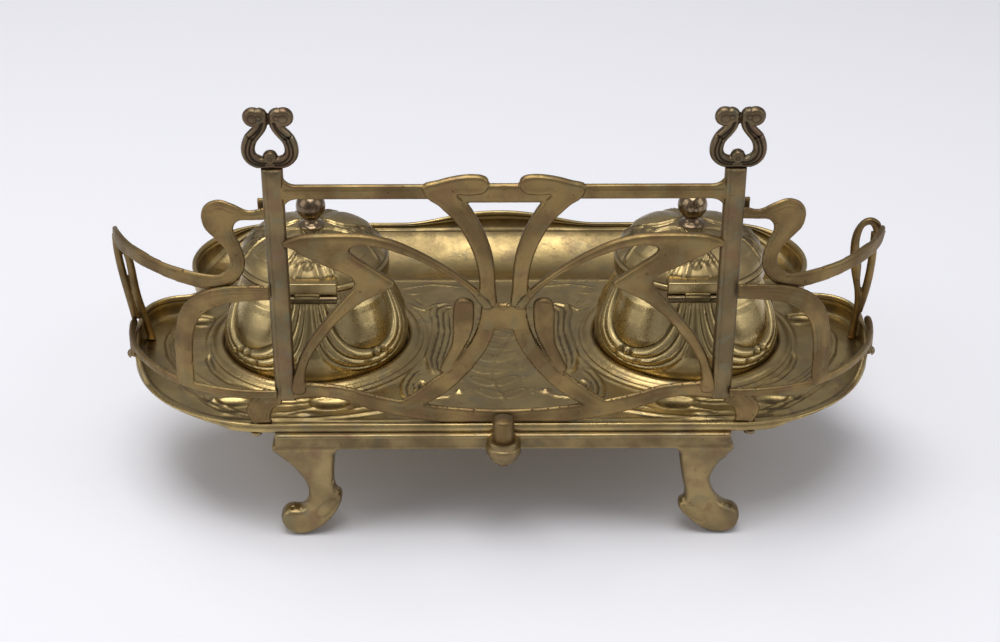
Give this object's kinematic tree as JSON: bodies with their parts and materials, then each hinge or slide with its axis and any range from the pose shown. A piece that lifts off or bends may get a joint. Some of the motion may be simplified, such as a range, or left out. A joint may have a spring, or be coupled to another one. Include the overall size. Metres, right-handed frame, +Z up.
{
  "type": "desk inkstand",
  "caption": "Footed brass desk inkstand with an open scrollwork gallery, side brackets, a pen trough and round inkwells under hinged domed lids.",
  "frame": {"origin": "middle of the object's footprint on the table", "axes": "+Z up, +Y from the gallery towards the pen trough, X along the row of wells"},
  "size_m": [0.3079, 0.1662, 0.1852],
  "materials": {
    "tray_brass": "pressed, rubbed bright on the ridges, tarnished in the hollows",
    "cast_bronze": "cast, browned, fine pits",
    "dark_bronze": "cast, dark grey-brown patina",
    "knob_bronze": "turned and worn smooth",
    "foot_brass": "cast, dull golden olive",
    "well_brass": "pressed and polished, tarnished in the hollows",
    "collar_brass": "turned, satin",
    "liner_glass": "pressed opal glass",
    "fastener_brass": "turned, dull"
  },
  "bodies": {
    "stand": {"tray": "tray_brass", "gallery": "cast_bronze", "gallery_nut": "cast_bronze", "boot_screws": "fastener_brass", "finial_left": "dark_bronze", "finial_right": "dark_bronze", "bracket_left": "cast_bronze", "bracket_right": "cast_bronze", "bracket_rivets": "fastener_brass", "bracket_screws": "fastener_brass", "rear_foot_bar": "foot_brass", "front_foot_bar": "foot_brass", "bar_rivets": "fastener_brass", "well_body_left": "well_brass", "well_collar_left": "collar_brass", "ink_liner_left": "liner_glass", "hinge_pin_left": "fastener_brass", "well_bolt_left": "fastener_brass", "well_nut_left": "fastener_brass", "well_body_right": "well_brass", "well_collar_right": "collar_brass", "ink_liner_right": "liner_glass", "hinge_pin_right": "fastener_brass", "well_bolt_right": "fastener_brass", "well_nut_right": "fastener_brass"},
    "left_lid": {"lid_left": "well_brass", "knob_left": "knob_bronze", "knob_nut_left": "fastener_brass"},
    "right_lid": {"lid_right": "well_brass", "knob_right": "knob_bronze", "knob_nut_right": "fastener_brass"}
  },
  "joints": [
    {"name": "left_lid_hinge", "type": "hinge", "parent": "stand", "child": "left_lid", "pos_m": [-0.077, -0.0385, 0.0892], "axis": [1, 0, 0], "range_deg": [0, 85]},
    {"name": "right_lid_hinge", "type": "hinge", "parent": "stand", "child": "right_lid", "pos_m": [0.077, -0.0385, 0.0892], "axis": [1, 0, 0], "range_deg": [0, 85]}
  ]
}
